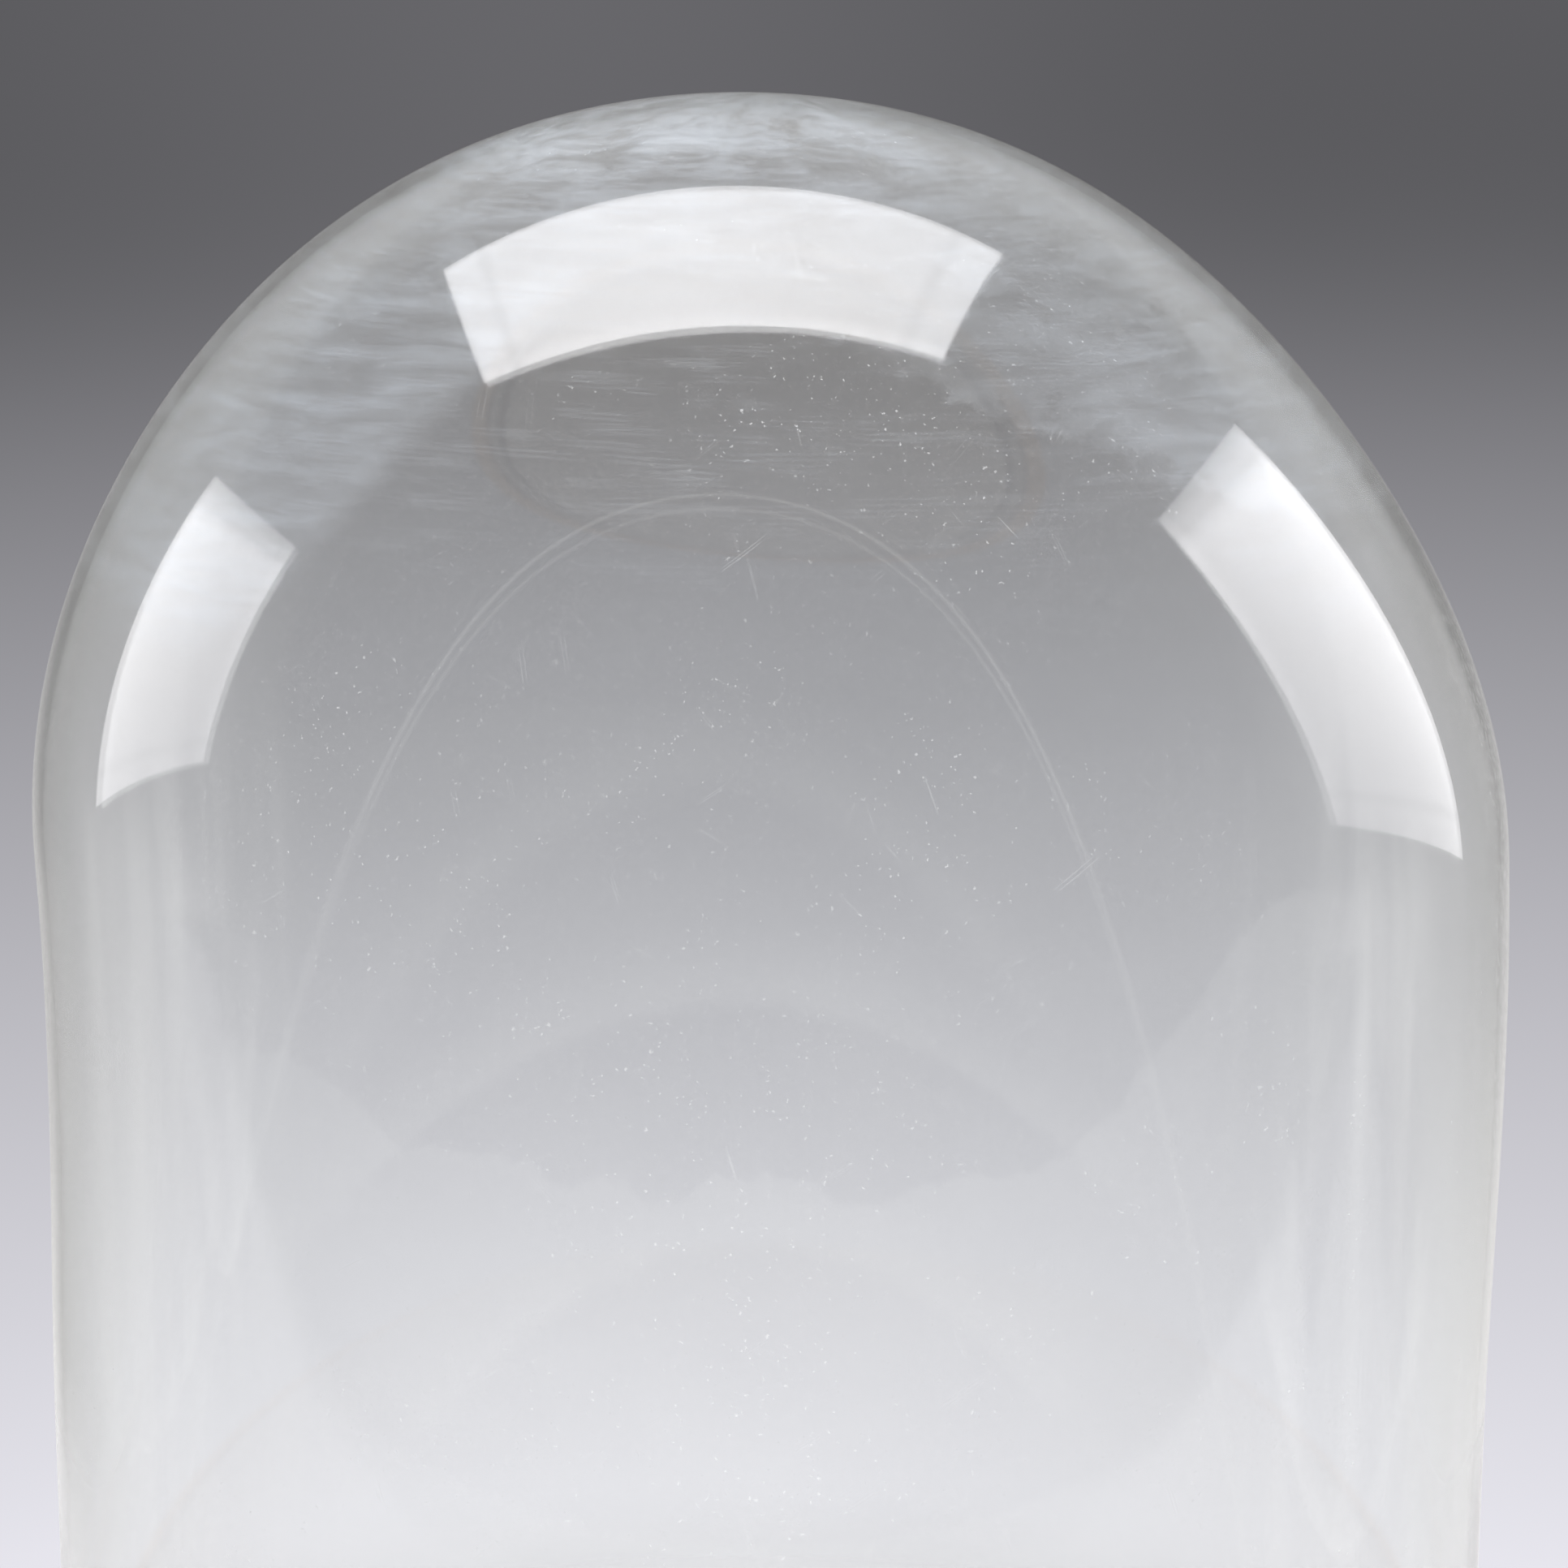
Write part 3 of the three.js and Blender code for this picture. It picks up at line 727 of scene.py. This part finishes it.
def film(n, position):
    """The share of the glass that film, dust and scratches hide, with the painted reflections on the far wall
    and the painted highlight on the crown's top in it, and the crown's part of it by itself.
    """
    x, y, z = n.split(position)
    turn = n.math("ARCTAN2", x, n.times(y, -1.0))
    around = n.times(turn, DOME_R)
    cloudy = n.noise(position, 14.0, 4.0, 0.6, 0.4, 1.0)
    settled = n.ramp(z, 0.34, 0.08, 0.25, 3.3)
    even = n.times(n.ramp(cloudy, 0.25, 0.75, 0.6, 1.4), settled, EVEN_FILM)
    crown = crown_film(n, position, turn)
    # The walls' share holds the painted reflections of the arches and the double line on the far wall.
    walls = n.plus(run_film(n, turn, z, around), tide_film(n, turn, z, around), painted_reflection_arches(n, x, y, z))
    total = n.plus(even, crown, walls, marks_film(n, position, turn, around))
    return n.math("MAXIMUM", total, LEAST_FILM), crown


def glass_material():
    """Clear glass under the film: where the crown is wiped it is duller, bluer and a little rough."""
    material, n = new_material("glass_dome")
    # The hidden share includes painted reflections on the far wall and a painted highlight on the crown's
    # top.
    hidden, crown = film(n, n.add("ShaderNodeTexCoord").outputs["Object"])
    bluer = n.times(crown, 14.0, clamp=True)
    principled = n.add("ShaderNodeBsdfPrincipled")
    n.put(principled.inputs["Base Color"], n.mix_colour(bluer, GLASS_COLOUR, CROWN_COLOUR))
    n.put(principled.inputs["Roughness"], n.plus(0.03, n.times(crown, 0.25)))
    n.put(principled.inputs["IOR"], 1.5)
    n.put(principled.inputs["Transmission Weight"], n.minus(1.0, hidden, clamp=True))
    n.put(principled.inputs["Coat Weight"], n.plus(0.08, n.times(crown, 1.2), clamp=True))
    n.put(principled.inputs["Coat Roughness"], 0.32)
    n.put(principled.inputs["Sheen Weight"], 0.13)
    n.put(principled.inputs["Sheen Roughness"], 0.4)
    n.surface(principled.outputs[0])
    return material


def make_dome():
    verts, faces = make_dome_mesh()
    dome = mesh_object("dome_glass", verts, faces, glass_material())
    dome.visible_shadow = False
    dome.visible_diffuse = False
    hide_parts("glass_dome")
    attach(dome, "dome")
    return dome


# ---- The base ----------------------------------------------------------------------------------------
BOARD_LOW, BOARD_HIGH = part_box("base_board")
MOULD_LOW, MOULD_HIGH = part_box("base_moulding")
STAGE_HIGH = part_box("stage_board")[1]
COVER_LOW, COVER_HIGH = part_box("stage_velvet")
CORD_LOW, CORD_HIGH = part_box("chenille_trim")
RING_LOW, RING_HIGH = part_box("rim_felt_ring")
GLUE = 0.0003
GROOVE_CLEAR = 0.001
FINE = 192


def arc(r, z, wide, high, start, end, steps):
    """Points on an elliptical arc in (radius, height), from one angle to another in degrees."""
    t = np.radians(np.linspace(start, end, steps + 1))
    return [(r + wide * math.cos(a), z + high * math.sin(a)) for a in t]


def lathe(name, profile, material, sides=FINE, centre=(0.0, 0.0), wander=None, grain=None):
    """A closed solid turned from (radius, height) pairs. Where the profile starts or ends on the axis it is
    closed by a fan, and otherwise it runs round into itself. wander(angle, r, z) gives new r and z."""
    pr = np.array([p[0] for p in profile])
    pz = np.array([p[1] for p in profile])
    on_axis = pr[0] < 1e-9
    if on_axis:
        ends = ((0.0, pz[0]), (0.0, pz[-1]))
        pr, pz = pr[1:-1], pz[1:-1]
    angle = np.linspace(0.0, 2 * np.pi, sides, endpoint=False)
    rr = np.repeat(pr[:, None], sides, 1)
    zz = np.repeat(pz[:, None], sides, 1)
    if wander:
        rr, zz = wander(angle[None, :], rr, zz)
    verts = np.stack([rr * np.cos(angle), rr * np.sin(angle), zz], -1).reshape(-1, 3)
    count = len(pr)
    faces = []
    for i in range(count if not on_axis else count - 1):
        a, b = i * sides, (i + 1) % count * sides
        faces.extend((a + j, a + (j + 1) % sides, b + (j + 1) % sides, b + j) for j in range(sides))
    if on_axis:
        low, high = len(verts), len(verts) + 1
        verts = np.concatenate([verts, [[0.0, 0.0, ends[0][1]], [0.0, 0.0, ends[1][1]]]])
        last = (count - 1) * sides
        faces.extend(((j + 1) % sides, j, low) for j in range(sides))
        faces.extend((last + j, last + (j + 1) % sides, high) for j in range(sides))
    verts[:, 0] += centre[0]
    verts[:, 1] += centre[1]
    obj = mesh_object(name, verts, faces, material)
    if grain:
        place = grain(verts - np.array([*centre, 0.0]))
        attribute = obj.data.attributes.new("grain", "FLOAT_VECTOR", "POINT")
        attribute.data.foreach_set("vector", place.astype(np.float32).ravel())
    return obj


def keep_crisp(obj):
    """Smooth shading that keeps the crisp edges of turned work."""
    obj.data.set_sharp_from_angle(angle=math.radians(40.0))


SEGMENTS = 6


def rim_grain(points):
    """Grain that runs along each of the moulding's glued segments."""
    angle = np.arctan2(points[:, 1], points[:, 0]) + math.pi
    part = np.floor(angle / (2 * math.pi) * SEGMENTS)
    middle = (part + 0.5) / SEGMENTS * 2 * math.pi - math.pi
    along = -points[:, 0] * np.sin(middle) + points[:, 1] * np.cos(middle)
    across = points[:, 0] * np.cos(middle) + points[:, 1] * np.sin(middle)
    return np.stack([along + part * 0.37, across + part * 0.013, points[:, 2] + part * 0.021], -1)


def upright_grain(points):
    return np.stack([points[:, 2], points[:, 0] + 0.04, points[:, 1] + 0.02], -1)


WOOD_PALE = (0.66, 0.49, 0.31, 1.0)
WOOD_TAN = (0.50, 0.33, 0.185, 1.0)
WOOD_FIBRE = (0.42, 0.27, 0.15, 1.0)
WOOD_FLECK = (0.33, 0.2, 0.11, 1.0)
WOOD_WORN = (0.58, 0.41, 0.24, 1.0)
# The year rings are the waves of a sine, so this is 2 pi times how many there are in a metre.
YEAR_RINGS = 1700.0


def wood_material(name, from_attribute):
    """Waxed limewood: pale, close grained, with faint rings, flecks and darker worn patches at random."""
    material, n = new_material(name)
    if from_attribute:
        where = n.add("ShaderNodeAttribute", attribute_name="grain").outputs["Vector"]
    else:
        where = n.add("ShaderNodeTexCoord").outputs["Object"]
    along, across, deep = n.split(where)
    drift = n.noise(n.combine(n.times(along, 3.0), across, deep), 9.0, 3.0, 0.5, 0.0, 1.0)
    from_pith = n.length(n.plus(across, 0.23), n.plus(deep, 0.31))
    rings = n.ramp(n.math("SINE", n.times(n.plus(from_pith, n.times(drift, 0.012)), YEAR_RINGS)), -0.6, 1.0)
    fibre_place = n.combine(n.times(along, 22.0), n.times(across, 900.0), n.times(deep, 900.0))
    fibre = n.noise(fibre_place, 1.0, 4.0, 0.6, 0.0, 2.0)
    fleck_place = n.combine(n.times(along, 150.0), n.times(across, 1500.0), n.times(deep, 700.0))
    fleck = n.noise(fleck_place, 1.0, 1.0, 0.5, 0.0, 3.0)
    wear = n.noise(where, 30.0, 4.0, 0.6, 0.0, 4.0)
    colour = n.mix_colour(n.times(rings, 0.5), WOOD_PALE, WOOD_TAN)
    colour = n.mix_colour(n.ramp(fibre, 0.35, 0.7, 0.0, 0.35), colour, WOOD_FIBRE)
    colour = n.mix_colour(n.ramp(fleck, 0.66, 0.74, 0.0, 0.4), colour, WOOD_FLECK)
    colour = n.mix_colour(n.ramp(wear, 0.35, 0.75, 0.0, 0.3), colour, WOOD_WORN)
    bump = n.add("ShaderNodeBump")
    n.put(bump.inputs["Strength"], 0.35)
    n.put(bump.inputs["Distance"], 0.0002)
    n.put(bump.inputs["Height"], n.minus(fibre, n.ramp(fleck, 0.66, 0.74)))
    principled = n.add("ShaderNodeBsdfPrincipled")
    n.put(principled.inputs["Base Color"], colour)
    n.put(principled.inputs["Roughness"], n.plus(0.34, n.times(n.plus(wear, fibre), 0.14)))
    n.put(principled.inputs["Normal"], bump.outputs[0])
    n.put(principled.inputs["Coat Weight"], 0.25)
    n.put(principled.inputs["Coat Roughness"], 0.22)
    n.surface(principled.outputs[0])
    return material


def cloth_material(name, dark, light, scale, sheen, depth, seed):
    """Felt, velvet or chenille: a pile that lies lighter and darker in soft patches, over a fine fuzz."""
    material, n = new_material(name)
    where = n.add("ShaderNodeTexCoord").outputs["Object"]
    patches = n.noise(where, 22.0, 4.0, 0.6, 0.8, seed)
    fuzz = n.noise(where, scale, 3.0, 0.7, 0.0, seed + 1.0)
    lie = n.plus(n.times(n.ramp(patches, 0.3, 0.7), 0.45), n.times(fuzz, 0.55))
    colour = n.mix_colour(lie, dark, light)
    bump = n.add("ShaderNodeBump")
    n.put(bump.inputs["Strength"], 0.8)
    n.put(bump.inputs["Distance"], depth)
    n.put(bump.inputs["Height"], fuzz)
    principled = n.add("ShaderNodeBsdfPrincipled")
    n.put(principled.inputs["Base Color"], colour)
    n.put(principled.inputs["Roughness"], n.ramp(patches, 0.3, 0.7, 0.8, 0.98))
    n.put(principled.inputs["Normal"], bump.outputs[0])
    n.put(principled.inputs["Specular IOR Level"], 0.15)
    n.put(principled.inputs["Sheen Weight"], sheen)
    n.put(principled.inputs["Sheen Roughness"], 0.35)
    n.surface(principled.outputs[0])
    return material


BRASS_CLEAN = (0.66, 0.48, 0.22, 1.0)
BRASS_TARNISHED = (0.36, 0.25, 0.11, 1.0)


def brass_material():
    material, n = new_material("brass_dull")
    where = n.add("ShaderNodeTexCoord").outputs["Object"]
    tarnish = n.noise(where, 260.0, 5.0, 0.65, 0.4, 1.0)
    turning = n.noise(where, 2600.0, 2.0, 0.5, 0.0, 2.0)
    principled = n.add("ShaderNodeBsdfPrincipled")
    colour = n.mix_colour(n.ramp(tarnish, 0.35, 0.7), BRASS_CLEAN, BRASS_TARNISHED)
    n.put(principled.inputs["Base Color"], colour)
    n.put(principled.inputs["Metallic"], 1.0)
    n.put(principled.inputs["Roughness"], n.ramp(tarnish, 0.3, 0.7, 0.26, 0.55))
    bump = n.add("ShaderNodeBump")
    n.put(bump.inputs["Strength"], 0.3)
    n.put(bump.inputs["Distance"], 0.00005)
    n.put(bump.inputs["Height"], turning)
    n.put(principled.inputs["Normal"], bump.outputs[0])
    n.surface(principled.outputs[0])
    return material


def give(name, material):
    """Puts a finished material on a CAD node that keeps its own shape."""
    for slot in bpy.data.objects[name].material_slots:
        slot.material = material


def moulding_profile():
    """The same turned section as in the model, with fine curves."""
    inner = BOARD_HIGH.x + GLUE
    outer = MOULD_HIGH.x
    base = MOULD_LOW.z
    height = MOULD_HIGH.z - base
    board = BOARD_HIGH.z - BOARD_LOW.z
    groove = CORD_HIGH.x + GROOVE_CLEAR
    torus, bead, fillet, step = 0.006, 0.0026, 0.0015, 0.005
    cove_foot = (outer - 0.003, 2 * torus + fillet)
    bead_r = groove + bead + 0.002
    cove_top = (bead_r + bead - 0.0005, height - 2 * bead - fillet)
    points = [(inner, 0.0), (outer - step, 0.0)]
    points += arc(outer - torus, torus, torus, torus, -75, 80, 20)
    points += [cove_foot]
    cove_wide, cove_high = cove_top[0] - cove_foot[0], cove_foot[1] - cove_top[1]
    points += arc(cove_foot[0], cove_top[1], cove_wide, cove_high, 75, 0, 14)
    points += arc(bead_r, height - bead, bead, bead, -50, 90, 14)
    points += [(groove + 0.001, height), (groove + 0.0003, height - 0.0003), (groove, height - 0.001)]
    points += [(groove, board + GLUE), (inner, board + GLUE)]
    return [(r, z + base) for r, z in points]


def foot_profile():
    """A bun foot with its screw hole and counterbore, as in the model, with fine curves."""
    foot_low, foot_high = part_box("bun_foot_1")
    height = foot_high.z - foot_low.z
    waist = height - 0.0035
    points = [(0.0023, 0.006), (0.0046, 0.006), (0.0046, 0.0), (0.0125, 0.0)]
    points += arc(0.011, waist / 2, 0.008, waist / 2, -65, 65, 20)
    points += [(0.012, waist), (0.012, waist + 0.001), (0.0135, waist + 0.0017), (0.014, waist + 0.0024)]
    points += [(0.014, height - 0.0004), (0.0136, height), (0.0023, height)]
    return [(r, z + foot_low.z) for r, z in points]


def felt_profile(inner, outer, low, high, ease):
    """A flat ring of felt, or a disc where the inner radius is 0, with eased edges."""
    edge = [(outer - ease, low), (outer, low + ease), (outer, high - ease), (outer - ease, high)]
    if inner:
        return [(inner, low)] + edge + [(inner + ease, high), (inner, high - ease)]
    return [(0.0, low), (outer * 0.5, low)] + edge + [(outer * 0.5, high), (0.0, high)]


def cut_by_hand(seed, amount):
    """An edge that wanders a little and bristles, as cut felt does."""
    rng = np.random.default_rng(seed)
    waves = [(rng.integers(3, 40), rng.uniform(0, 6.28), rng.uniform(0.3, 1.0)) for _ in range(7)]

    def wander(angle, r, z):
        out = sum(size * np.sin(count * angle + phase) for count, phase, size in waves)
        edge = smoothstep(r, r.max() * 0.9, r.max())
        return r + edge * (out * amount + rng.normal(0.0, amount * 0.5, r.shape)), z

    return wander


# The radius that the velvet turns over the stage's edge with.
VELVET_BEND = 0.0032


def velvet_profile():
    """A cap of velvet: the top, the turned edge and a short skirt, then back up its underside."""
    outer, inner = COVER_HIGH.x, STAGE_HIGH.x + GLUE
    nap = outer - inner
    top, foot = COVER_HIGH.z, COVER_LOW.z
    outside = [(r, top) for r in np.linspace(0.0, outer - VELVET_BEND, 60)]
    outside += arc(outer - VELVET_BEND, top - VELVET_BEND, VELVET_BEND, VELVET_BEND, 84, 0, 8)
    outside += [(outer, z) for z in np.linspace(top - VELVET_BEND - 0.001, foot + 0.0004, 9)]
    outside += [(outer - 0.0004, foot), (inner + 0.0003, foot)]
    inside = [(inner, z) for z in np.linspace(foot + 0.0003, top - nap - 0.002, 6)]
    inside += arc(inner - 0.002, top - nap - 0.002, 0.002, 0.002, 10, 90, 5)
    inside += [(r, top - nap) for r in np.linspace(inner - 0.006, 0.0, 20)]
    return (outside + inside)[::-1]


def velvet_lie(angle, r, z):
    """The pile lies unevenly on top, and the skirt is drawn into small gathers."""
    top = COVER_HIGH.z
    upper = smoothstep(z, top - 0.0006, top - 0.0001)
    x, y = r * np.cos(angle), r * np.sin(angle)
    soft = np.sin(38 * x + 3 * np.sin(27 * y)) * np.sin(31 * y + 2 * np.sin(22 * x + 1.0))
    z = z - upper * (0.00012 * (1.0 + soft) + 0.0003 * smoothstep(r, 0.0, COVER_HIGH.x))
    skirt = smoothstep(top - z, 0.002, 0.012) * smoothstep(r, STAGE_HIGH.x + 0.0008, COVER_HIGH.x)
    pleat = np.sin(64 * angle + 1.5 * np.sin(5 * angle)) * 0.6 + np.sin(113 * angle + 0.7) * 0.4
    return r + skirt * 0.00045 * pleat, z


FIBRES = 9000
FIBRE_LENGTH = 0.0021
FIBRE_WIDTH = 0.00028
TWISTS = 120


def chenille_mesh():
    """A cord of pile: a twisted core, and short tufts that stand out from it in a winding row."""
    rng = np.random.default_rng(7)
    middle = (CORD_HIGH.z + CORD_LOW.z) / 2
    radius = (CORD_HIGH.z - CORD_LOW.z) / 2
    major = CORD_HIGH.x - radius
    core = radius - FIBRE_LENGTH * 0.62
    sides, rings = 14, 720
    verts = []
    faces = []
    for i in range(rings):
        a = 2 * math.pi * i / rings
        for j in range(sides):
            b = 2 * math.pi * j / sides
            r = core * (1.0 + 0.10 * math.sin(2 * b - TWISTS * a))
            out = major + r * math.cos(b)
            verts.append((out * math.cos(a), out * math.sin(a), middle + r * math.sin(b)))
            k, m = (i + 1) % rings, (j + 1) % sides
            faces.append((i * sides + j, k * sides + j, k * sides + m, i * sides + m))
    for _ in range(FIBRES):
        a = rng.uniform(0, 2 * math.pi)
        row = rng.integers(0, 2)
        b = (TWISTS * a + math.pi * 2 * row) / 2 + rng.normal(0, 0.75)
        long = FIBRE_LENGTH * rng.uniform(0.55, 1.0)
        spin = rng.uniform(0, 2 * math.pi)
        radial = np.array((math.cos(a), math.sin(a), 0.0))
        tangent = np.array((-math.sin(a), math.cos(a), 0.0))
        out = radial * math.cos(b) + np.array((0.0, 0.0, 1.0)) * math.sin(b)
        side = np.cross(tangent, out)
        root = radial * major + np.array((0.0, 0.0, middle)) + out * core * 0.85
        tip = root + out * long + tangent * rng.normal(0, 0.0005) + side * rng.normal(0, 0.0004)
        start = len(verts)
        for centre, wide in ((root, FIBRE_WIDTH), (tip, FIBRE_WIDTH * 0.55)):
            for corner in range(3):
                t = spin + 2 * math.pi * corner / 3
                verts.append(centre + (tangent * math.cos(t) + side * math.sin(t)) * wide / 2)
        end = start + 3
        faces.extend((start + c, start + (c + 1) % 3, end + (c + 1) % 3, end + c) for c in range(3))
        faces.append((start + 2, start + 1, start))
        faces.append((end, end + 1, end + 2))
    return verts, faces


FELT_DARK, FELT_LIGHT = (0.27, 0.245, 0.205, 1.0), (0.47, 0.44, 0.385, 1.0)
VELVET_DARK, VELVET_LIGHT = (0.58, 0.535, 0.45, 1.0), (0.78, 0.735, 0.65, 1.0)
PILE_DARK, PILE_LIGHT = (0.47, 0.42, 0.33, 1.0), (0.74, 0.69, 0.59, 1.0)


def make_base():
    turned_wood = wood_material("limewood_turned", True)
    board_wood = wood_material("limewood_board", False)
    felt = cloth_material("felt", FELT_DARK, FELT_LIGHT, 1500.0, 0.25, 0.0004, 3.0)
    velvet = cloth_material("velvet", VELVET_DARK, VELVET_LIGHT, 2400.0, 0.7, 0.00025, 5.0)
    pile = cloth_material("chenille", PILE_DARK, PILE_LIGHT, 700.0, 0.5, 0.0003, 7.0)
    brass = brass_material()
    give("base_board", board_wood)
    give("stage_board", board_wood)
    moulding = lathe("moulding", moulding_profile(), turned_wood, grain=rim_grain)
    made = [(moulding, "base_moulding", "wood")]
    for i in (1, 2, 3):
        low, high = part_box(f"bun_foot_{i}")
        centre = ((low.x + high.x) / 2, (low.y + high.y) / 2)
        foot = lathe(f"foot_{i}", foot_profile(), turned_wood, 96, centre, grain=upright_grain)
        made.append((foot, f"bun_foot_{i}", "wood"))
        low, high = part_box(f"foot_felt_{i}")
        profile = felt_profile(0.0, (high.x - low.x) / 2 - 0.0002, low.z, high.z, 0.0003)
        pad = lathe(f"felt_pad_{i}", profile, felt, 96, centre, cut_by_hand(20 + i, 0.00006))
        made.append((pad, f"foot_felt_{i}", "felt"))
        give(f"foot_screw_{i}", brass)
    for i in (1, 2, 3, 4):
        give(f"stage_screw_{i}", brass)
    profile = felt_profile(RING_HIGH.x - 0.0047, RING_HIGH.x - 0.0002, RING_LOW.z, RING_HIGH.z, 0.0003)
    ring = lathe("felt_ring", profile, felt, 256, wander=cut_by_hand(31, 0.00005))
    made.append((ring, "rim_felt_ring", "felt"))
    cover = lathe("velvet_cover", velvet_profile(), velvet, 256, wander=velvet_lie)
    made.append((cover, "stage_velvet", "velvet"))
    cord = mesh_object("chenille_cord", *chenille_mesh(), pile)
    made.append((cord, "chenille_trim", "chenille"))
    for piece, node, slot in made:
        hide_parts(node)
        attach(piece, "base")
        if slot == "wood":
            keep_crisp(piece)


def set_renderer():
    scene.view_settings.view_transform = "Standard"
    cycles = scene.cycles
    cycles.max_bounces = 16
    cycles.transmission_bounces = 16
    cycles.glossy_bounces = 8
    cycles.transparent_max_bounces = 16
    cycles.caustics_refractive = False
    cycles.caustics_reflective = False


set_renderer()
make_camera()
make_world()
make_table()
for name in PANELS:
    make_panel(name)
make_fill([make_dome()])
make_base()
